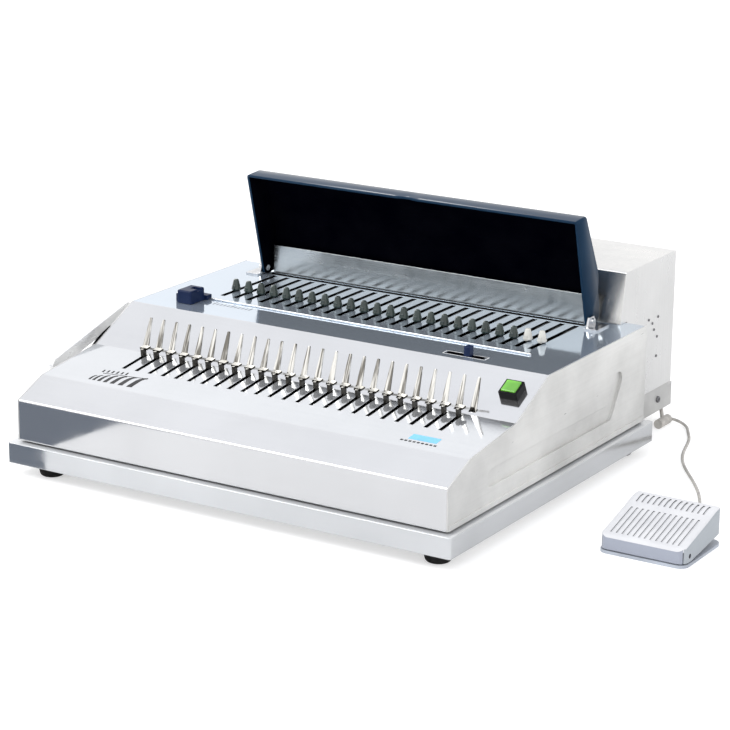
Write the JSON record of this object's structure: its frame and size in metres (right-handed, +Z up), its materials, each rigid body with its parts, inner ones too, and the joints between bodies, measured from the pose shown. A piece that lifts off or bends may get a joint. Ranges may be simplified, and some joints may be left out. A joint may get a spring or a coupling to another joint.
{
  "type": "comb binding machine",
  "caption": "Desktop electric comb punch and binding machine with a raised lid, selector pins, comb hooks, a side lever and a wired foot pedal.",
  "frame": {"origin": "centre of the front right foot's sole, on the desk top", "axes": "+X to the operator's right, +Y to the back of the machine, +Z up"},
  "size_m": [0.6158, 0.477, 0.2274],
  "materials": {
    "tray_steel": "satin",
    "foot_rubber": "matte",
    "deck_steel": "polished",
    "side_steel": "brushed",
    "housing_steel": "satin",
    "frame_steel": "matte",
    "screw_steel": "bright",
    "inlet_plastic": "matte",
    "rocker_plastic": "gloss",
    "motor_paint": "satin",
    "gear_steel": "machined",
    "tool_steel": "ground",
    "pin_steel": "ground",
    "rest_steel": "polished",
    "finger_steel": "polished",
    "hook_steel": "bright",
    "lid_plastic": "satin",
    "rod_steel": "bright",
    "navy_plastic": "satin",
    "button_green": "gloss",
    "bezel_plastic": "matte",
    "drawer_steel": "satin",
    "pedal_metal": "satin",
    "cable_rubber": "matte"
  },
  "bodies": {
    "machine": {"base_tray": "tray_steel", "rubber_feet": "foot_rubber", "chassis": "frame_steel", "top_cover": "deck_steel", "left_side_panel": "side_steel", "right_side_panel": "side_steel", "rear_housing": "housing_steel", "cover_screws": "screw_steel", "power_inlet": "inlet_plastic", "drive_motor": "motor_paint", "die_block": "tool_steel", "paper_rest": "rest_steel", "finger_comb": "finger_steel", "hinge_brackets": "screw_steel", "guide_rod": "rod_steel", "button_bezel": "bezel_plastic", "pedal_base": "pedal_metal", "pedal_pin": "screw_steel", "pedal_cable": "cable_rubber", "pedal_spring": "screw_steel"},
    "cover_lid": {"lid_cover": "lid_plastic"},
    "main_shaft": {"cam_shaft": "tool_steel", "drive_gear": "gear_steel"},
    "motor_shaft": {"motor_pinion": "gear_steel"},
    "punch_frame": {"punch_carriage": "frame_steel"},
    "rollers": {"cam_rollers": "tool_steel"},
    "hook_frame": {"hook_carriage": "frame_steel", "comb_hooks": "hook_steel"},
    "comb_handle": {"comb_lever": "side_steel", "comb_shaft": "tool_steel"},
    "start_button": {"button_cap": "button_green"},
    "edge_guide": {"side_guide": "navy_plastic"},
    "margin_setter": {"margin_knob": "navy_plastic"},
    "drawer": {"chip_drawer": "drawer_steel"},
    "foot_tread": {"pedal_top": "pedal_metal"},
    "mains_rocker": {"power_rocker": "rocker_plastic"},
    "pin_01": {"selector_pin_01": "pin_steel"},
    "pin_02": {"selector_pin_02": "pin_steel"},
    "pin_03": {"selector_pin_03": "pin_steel"},
    "pin_04": {"selector_pin_04": "pin_steel"},
    "pin_05": {"selector_pin_05": "pin_steel"},
    "pin_06": {"selector_pin_06": "pin_steel"},
    "pin_07": {"selector_pin_07": "pin_steel"},
    "pin_08": {"selector_pin_08": "pin_steel"},
    "pin_09": {"selector_pin_09": "pin_steel"},
    "pin_10": {"selector_pin_10": "pin_steel"},
    "pin_11": {"selector_pin_11": "pin_steel"},
    "pin_12": {"selector_pin_12": "pin_steel"},
    "pin_13": {"selector_pin_13": "pin_steel"},
    "pin_14": {"selector_pin_14": "pin_steel"},
    "pin_15": {"selector_pin_15": "pin_steel"},
    "pin_16": {"selector_pin_16": "pin_steel"},
    "pin_17": {"selector_pin_17": "pin_steel"},
    "pin_18": {"selector_pin_18": "pin_steel"},
    "pin_19": {"selector_pin_19": "pin_steel"},
    "pin_20": {"selector_pin_20": "pin_steel"},
    "pin_21": {"selector_pin_21": "pin_steel"},
    "pin_22": {"selector_pin_22": "pin_steel"},
    "pin_23": {"selector_pin_23": "pin_steel"},
    "pin_24": {"selector_pin_24": "pin_steel"}
  },
  "joints": [
    {"name": "comb_lever_turn", "type": "hinge", "parent": "machine", "child": "comb_handle", "pos_m": [-0.4345, 0.0655, 0.06393], "axis": [1, 0, 0], "range_deg": [0, 120]},
    {"name": "hook_frame_slide", "type": "slide", "parent": "machine", "child": "hook_frame", "axis": [0, -0.9921, -0.1256], "range_m": [0, 0.02827]},
    {"name": "lid_hinge", "type": "hinge", "parent": "machine", "child": "cover_lid", "pos_m": [-0.203, 0.314, 0.128], "axis": [1, 0, 0], "range_deg": [0, 74.4]},
    {"name": "button_press", "type": "slide", "parent": "machine", "child": "start_button", "axis": [0, -0.4409, 0.8976], "range_m": [-0.004, 0], "stiffness_N_per_m": 200},
    {"name": "drawer_slide", "type": "slide", "parent": "machine", "child": "drawer", "axis": [-1, 0, 0], "range_m": [0, 0.26]},
    {"name": "edge_guide_slide", "type": "slide", "parent": "machine", "child": "edge_guide", "axis": [1, 0, 0], "range_m": [-0.012, 0.03]},
    {"name": "foot_tread_press", "type": "hinge", "parent": "machine", "child": "foot_tread", "pos_m": [0.139, 0.1017, 0.0086], "axis": [1, 0, 0], "range_deg": [-7, 0], "stiffness_Nm_per_rad": 1.5, "deforming": ["pedal_spring"]},
    {"name": "main_shaft_turn", "type": "hinge", "parent": "machine", "child": "main_shaft", "pos_m": [-0.203, 0.384, 0.118], "axis": [1, 0, 0], "range_deg": [0, 180]},
    {"name": "margin_slide", "type": "slide", "parent": "machine", "child": "margin_setter", "axis": [1, 0, 0], "range_m": [-0.018, 0.013]},
    {"name": "motor_turn", "type": "hinge", "parent": "machine", "child": "motor_shaft", "pos_m": [-0.143, 0.4065, 0.07903], "axis": [1, 0, 0], "range_deg": [-495.1, 0.1]},
    {"name": "punch_stroke", "type": "slide", "parent": "machine", "child": "punch_frame", "axis": [0, 1, 0], "range_m": [0, 0.014]},
    {"name": "roller_spin", "type": "hinge", "parent": "punch_frame", "child": "rollers", "pos_m": [-0.035, 0.4095, 0.118], "axis": [1, 0, 0], "continuous": true},
    {"name": "rocker_switch", "type": "hinge", "parent": "machine", "child": "mains_rocker", "pos_m": [-0.327, 0.4505, 0.076], "axis": [1, 0, 0], "range_deg": [-16, 0]},
    {"name": "selector_pin_01_pull", "type": "slide", "parent": "punch_frame", "child": "pin_01", "axis": [0, 1, 0], "range_m": [-0.012, 0]},
    {"name": "selector_pin_02_pull", "type": "slide", "parent": "punch_frame", "child": "pin_02", "axis": [0, 1, 0], "range_m": [-0.012, 0]},
    {"name": "selector_pin_03_pull", "type": "slide", "parent": "punch_frame", "child": "pin_03", "axis": [0, 1, 0], "range_m": [-0.012, 0]},
    {"name": "selector_pin_04_pull", "type": "slide", "parent": "punch_frame", "child": "pin_04", "axis": [0, 1, 0], "range_m": [-0.012, 0]},
    {"name": "selector_pin_05_pull", "type": "slide", "parent": "punch_frame", "child": "pin_05", "axis": [0, 1, 0], "range_m": [-0.012, 0]},
    {"name": "selector_pin_06_pull", "type": "slide", "parent": "punch_frame", "child": "pin_06", "axis": [0, 1, 0], "range_m": [-0.012, 0]},
    {"name": "selector_pin_07_pull", "type": "slide", "parent": "punch_frame", "child": "pin_07", "axis": [0, 1, 0], "range_m": [-0.012, 0]},
    {"name": "selector_pin_08_pull", "type": "slide", "parent": "punch_frame", "child": "pin_08", "axis": [0, 1, 0], "range_m": [-0.012, 0]},
    {"name": "selector_pin_09_pull", "type": "slide", "parent": "punch_frame", "child": "pin_09", "axis": [0, 1, 0], "range_m": [-0.012, 0]},
    {"name": "selector_pin_10_pull", "type": "slide", "parent": "punch_frame", "child": "pin_10", "axis": [0, 1, 0], "range_m": [-0.012, 0]},
    {"name": "selector_pin_11_pull", "type": "slide", "parent": "punch_frame", "child": "pin_11", "axis": [0, 1, 0], "range_m": [-0.012, 0]},
    {"name": "selector_pin_12_pull", "type": "slide", "parent": "punch_frame", "child": "pin_12", "axis": [0, 1, 0], "range_m": [-0.012, 0]},
    {"name": "selector_pin_13_pull", "type": "slide", "parent": "punch_frame", "child": "pin_13", "axis": [0, 1, 0], "range_m": [-0.012, 0]},
    {"name": "selector_pin_14_pull", "type": "slide", "parent": "punch_frame", "child": "pin_14", "axis": [0, 1, 0], "range_m": [-0.012, 0]},
    {"name": "selector_pin_15_pull", "type": "slide", "parent": "punch_frame", "child": "pin_15", "axis": [0, 1, 0], "range_m": [-0.012, 0]},
    {"name": "selector_pin_16_pull", "type": "slide", "parent": "punch_frame", "child": "pin_16", "axis": [0, 1, 0], "range_m": [-0.012, 0]},
    {"name": "selector_pin_17_pull", "type": "slide", "parent": "punch_frame", "child": "pin_17", "axis": [0, 1, 0], "range_m": [-0.012, 0]},
    {"name": "selector_pin_18_pull", "type": "slide", "parent": "punch_frame", "child": "pin_18", "axis": [0, 1, 0], "range_m": [-0.012, 0]},
    {"name": "selector_pin_19_pull", "type": "slide", "parent": "punch_frame", "child": "pin_19", "axis": [0, 1, 0], "range_m": [-0.012, 0]},
    {"name": "selector_pin_20_pull", "type": "slide", "parent": "punch_frame", "child": "pin_20", "axis": [0, 1, 0], "range_m": [-0.012, 0]},
    {"name": "selector_pin_21_pull", "type": "slide", "parent": "punch_frame", "child": "pin_21", "axis": [0, 1, 0], "range_m": [-0.012, 0]},
    {"name": "selector_pin_22_pull", "type": "slide", "parent": "punch_frame", "child": "pin_22", "axis": [0, 1, 0], "range_m": [-0.012, 0]},
    {"name": "selector_pin_23_pull", "type": "slide", "parent": "punch_frame", "child": "pin_23", "axis": [0, 1, 0], "range_m": [-0.012, 0]},
    {"name": "selector_pin_24_pull", "type": "slide", "parent": "punch_frame", "child": "pin_24", "axis": [0, 1, 0], "range_m": [-0.012, 0]}
  ],
  "couplings": [
    {"joint": "punch_stroke", "follows": "main_shaft_turn", "m_per_rad": 0.0044563},
    {"joint": "motor_turn", "follows": "main_shaft_turn", "ratio": -2.75},
    {"joint": "hook_frame_slide", "follows": "comb_lever_turn", "m_per_rad": 0.0135}
  ]
}
